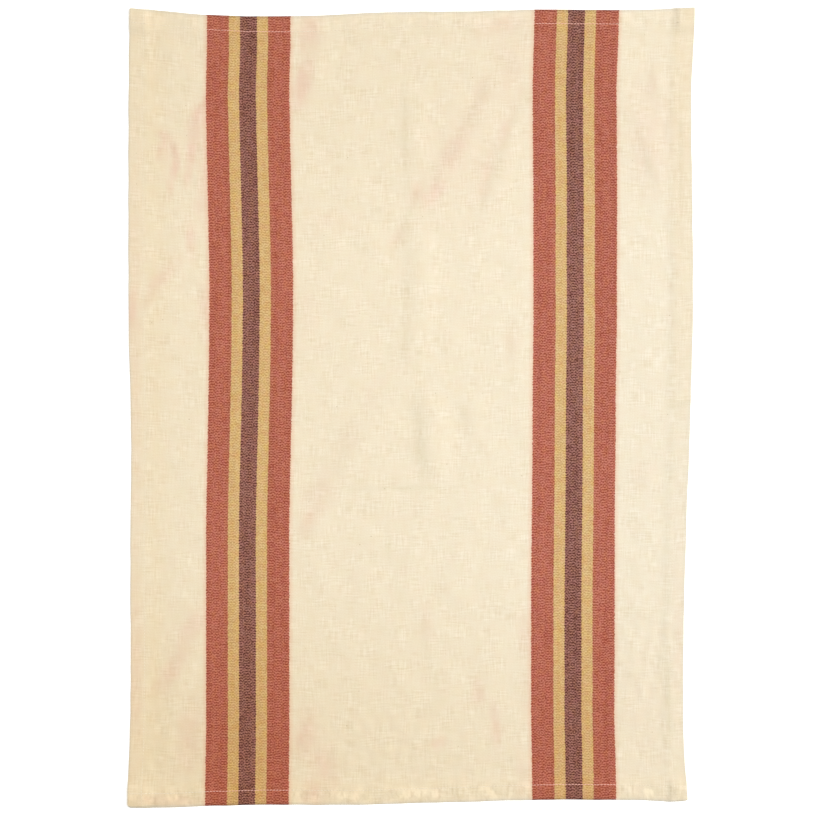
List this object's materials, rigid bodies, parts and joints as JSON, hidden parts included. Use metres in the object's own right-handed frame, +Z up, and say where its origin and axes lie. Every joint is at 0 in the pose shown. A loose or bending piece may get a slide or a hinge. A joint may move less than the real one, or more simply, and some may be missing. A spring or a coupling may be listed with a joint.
{
  "type": "tea towel",
  "caption": "Rectangular woven cotton tea towel lying flat and face up, hemmed on all four sides, cream with lengthwise bands of red, gold and plum stripes.",
  "frame": {"origin": "on the surface the towel rests on, under the middle of its outline", "axes": "+Y along the towel's length towards its top end, +X across its width, +Z up out of the face side"},
  "size_m": [0.5024, 0.7088, 0.003],
  "materials": {
    "striped_cotton": "matt plain-woven cotton, cream with red, gold and plum warp stripes"
  },
  "bodies": {
    "root": {"towel_cloth": "striped_cotton"}
  },
  "joints": []
}
